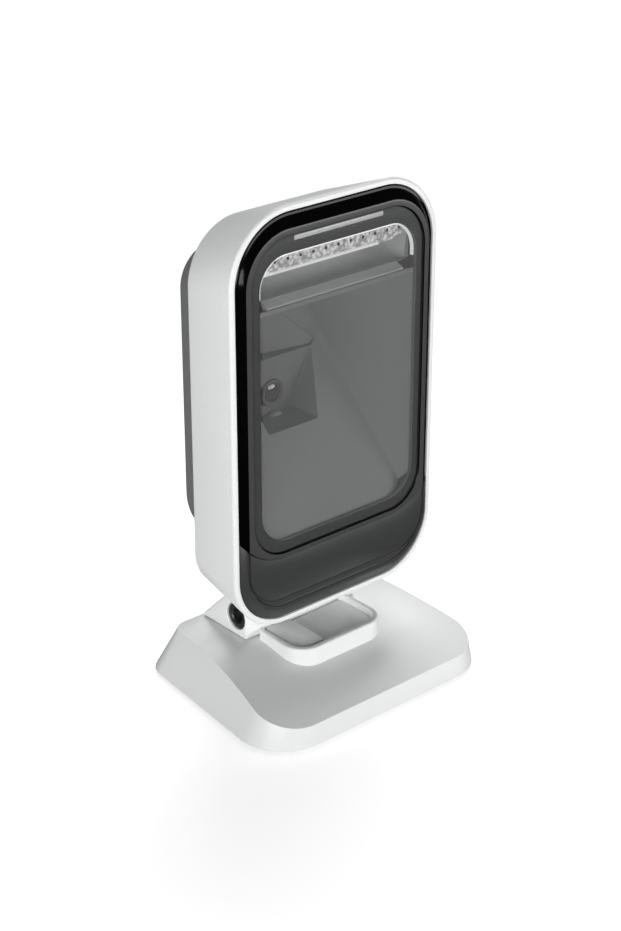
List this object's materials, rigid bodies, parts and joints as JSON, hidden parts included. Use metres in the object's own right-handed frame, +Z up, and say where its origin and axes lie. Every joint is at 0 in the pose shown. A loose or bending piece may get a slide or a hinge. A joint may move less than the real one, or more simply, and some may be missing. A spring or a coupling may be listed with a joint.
{
  "type": "desktop barcode scanner",
  "caption": "Free-standing presentation barcode scanner: a framed window head that tilts on a weighted, ramped foot.",
  "frame": {"origin": "centre of the foot's footprint on the table plane", "axes": "+Z up, -Y out of the scanning window, +X to the right seen from the window side"},
  "size_m": [0.0926, 0.0742, 0.1652],
  "materials": {
    "foot_white": "satin moulded white",
    "shell_silver": "fine pearl paint",
    "gloss_black": "polished",
    "panel_grey": "satin",
    "cover_grey": "fine texture",
    "black_plastic": "matt",
    "rubber": "matt",
    "steel": "plain",
    "window": "clear, slightly grey",
    "mask_grey": "screen-printed",
    "light_guide": "frosted clear",
    "baffle_grey": "matt",
    "board_green": "solder resist",
    "board_white": "white solder resist",
    "chip": "moulded",
    "socket": "moulded"
  },
  "bodies": {
    "stand": {"axle_nut": "steel", "ballast_weight": "steel", "base_cover": "foot_white", "base_plate": "black_plastic", "base_screw_1": "steel", "base_screw_2": "steel", "base_screw_3": "steel", "base_screw_4": "steel", "friction_washer_left": "steel", "friction_washer_right": "steel", "hinge_axle": "steel", "hinge_cap_left": "black_plastic", "hinge_cap_right": "black_plastic", "hinge_yoke": "foot_white", "rubber_foot_front_left": "rubber", "rubber_foot_front_right": "rubber", "rubber_foot_rear_left": "rubber", "rubber_foot_rear_right": "rubber", "yoke_screw_1": "steel", "yoke_screw_2": "steel"},
    "head": {"beeper": "black_plastic", "cable_socket": "socket", "camera_board": "board_green", "camera_bracket": "steel", "cover_screw_1": "steel", "cover_screw_2": "steel", "cover_screw_3": "steel", "cover_screw_4": "steel", "foot_screw_1": "steel", "foot_screw_2": "steel", "front_bezel": "gloss_black", "head_housing": "shell_silver", "hinge_foot": "steel", "illumination_board": "board_white", "illumination_lens": "light_guide", "image_sensor": "chip", "lens_barrel": "black_plastic", "lens_glass": "window", "lower_panel": "panel_grey", "main_board": "board_green", "optical_baffle": "baffle_grey", "processor_shield": "steel", "rear_cover": "cover_grey", "status_light_bar": "light_guide", "window_gasket": "rubber", "window_glass": "window", "window_mask": "mask_grey"}
  },
  "joints": [
    {"name": "head_tilt", "type": "hinge", "parent": "stand", "child": "head", "pos_m": [0, 0.01045, 0.02345], "axis": [1, 0, 0], "range_deg": [-30, 20]}
  ]
}
